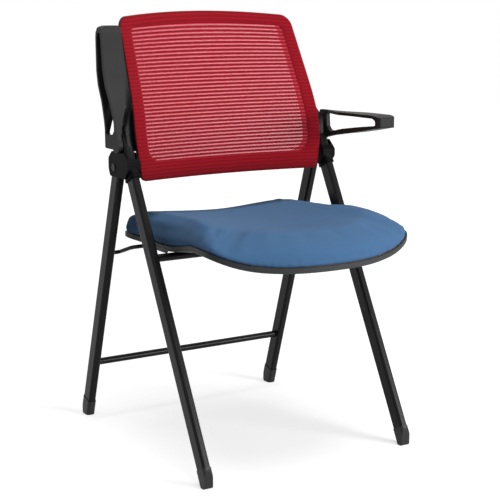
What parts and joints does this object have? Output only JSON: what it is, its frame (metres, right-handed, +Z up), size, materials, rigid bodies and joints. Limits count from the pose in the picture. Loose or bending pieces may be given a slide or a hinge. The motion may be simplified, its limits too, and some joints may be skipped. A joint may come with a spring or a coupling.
{
  "type": "folding conference chair",
  "caption": "Folding conference chair with a hollow mesh back, an upholstered seat on a steel A-frame and armrests that flip up.",
  "frame": {"origin": "on the floor, under the middle of the chair's bounding box", "axes": "+Z up, -Y the way the sitter faces, +X the sitter's left"},
  "size_m": [0.512, 0.5983, 0.84],
  "materials": {
    "frame_steel": "satin black powder coat",
    "hinge_black": "fine-grained black",
    "foot_plastic": "matt black",
    "zinc_steel": "bright zinc",
    "frame_plastic": "matt black",
    "border_red": "woven red",
    "net_red": "open red knit",
    "spacer_white": "natural nylon",
    "link_steel": "satin black powder coat",
    "pan_plastic": "matt dark grey",
    "plywood": "bare birch plywood",
    "seat_blue": "woven steel blue",
    "arm_plastic": "fine-grained dark grey"
  },
  "bodies": {
    "front_frame": {"front_leg_left": "frame_steel", "front_leg_right": "frame_steel", "front_foot_left": "foot_plastic", "front_foot_right": "foot_plastic", "seat_bar": "frame_steel", "hinge_housing_left": "hinge_black", "hinge_housing_right": "hinge_black", "hinge_pin_left": "zinc_steel", "hinge_pin_right": "zinc_steel", "back_upright_left": "frame_steel", "back_upright_right": "frame_steel", "back_frame": "frame_plastic", "back_cover": "border_red", "back_mesh": "net_red", "back_screws": "zinc_steel", "arm_bolt_left": "zinc_steel", "arm_bolt_right": "zinc_steel"},
    "rear_legs": {"rear_leg_left": "frame_steel", "rear_leg_right": "frame_steel", "rear_bar": "frame_steel", "rear_foot_left": "foot_plastic", "rear_foot_right": "foot_plastic", "hinge_spacers": "spacer_white"},
    "link": {"link_rod": "link_steel"},
    "seat": {"seat_pan": "pan_plastic", "seat_board": "plywood", "seat_cushion": "seat_blue", "seat_hanger_left": "link_steel", "seat_hanger_right": "link_steel", "seat_runner_left": "link_steel", "seat_runner_right": "link_steel", "seat_screws": "zinc_steel"},
    "arm_left": {"armrest_left": "arm_plastic", "arm_bush_left": "spacer_white", "arm_cap_left": "arm_plastic"},
    "arm_right": {"armrest_right": "arm_plastic", "arm_bush_right": "spacer_white", "arm_cap_right": "arm_plastic"}
  },
  "joints": [
    {"name": "fold", "type": "hinge", "parent": "front_frame", "child": "rear_legs", "pos_m": [0, 0.11576, 0.546], "axis": [-1, 0, 0], "range_deg": [0, 40]},
    {"name": "seat_tilt", "type": "hinge", "parent": "front_frame", "child": "seat", "pos_m": [0, -0.01246, 0.387], "axis": [1, 0, 0], "range_deg": [0, 30]},
    {"name": "link_swing", "type": "hinge", "parent": "rear_legs", "child": "link", "pos_m": [0, 0.17416, 0.366], "axis": [-1, 0, 0], "range_deg": [0, 50]},
    {"name": "arm_left_flip", "type": "hinge", "parent": "front_frame", "child": "arm_left", "pos_m": [0, 0.09698, 0.59], "axis": [-1, 0, 0], "range_deg": [0, 90]},
    {"name": "arm_right_flip", "type": "hinge", "parent": "front_frame", "child": "arm_right", "pos_m": [0, 0.09698, 0.59], "axis": [1, 0, 0], "range_deg": [0, 90]}
  ],
  "couplings": [
    {"joint": "seat_tilt", "follows": "fold", "ratio": 0.75},
    {"joint": "link_swing", "follows": "fold", "ratio": 1.25}
  ]
}
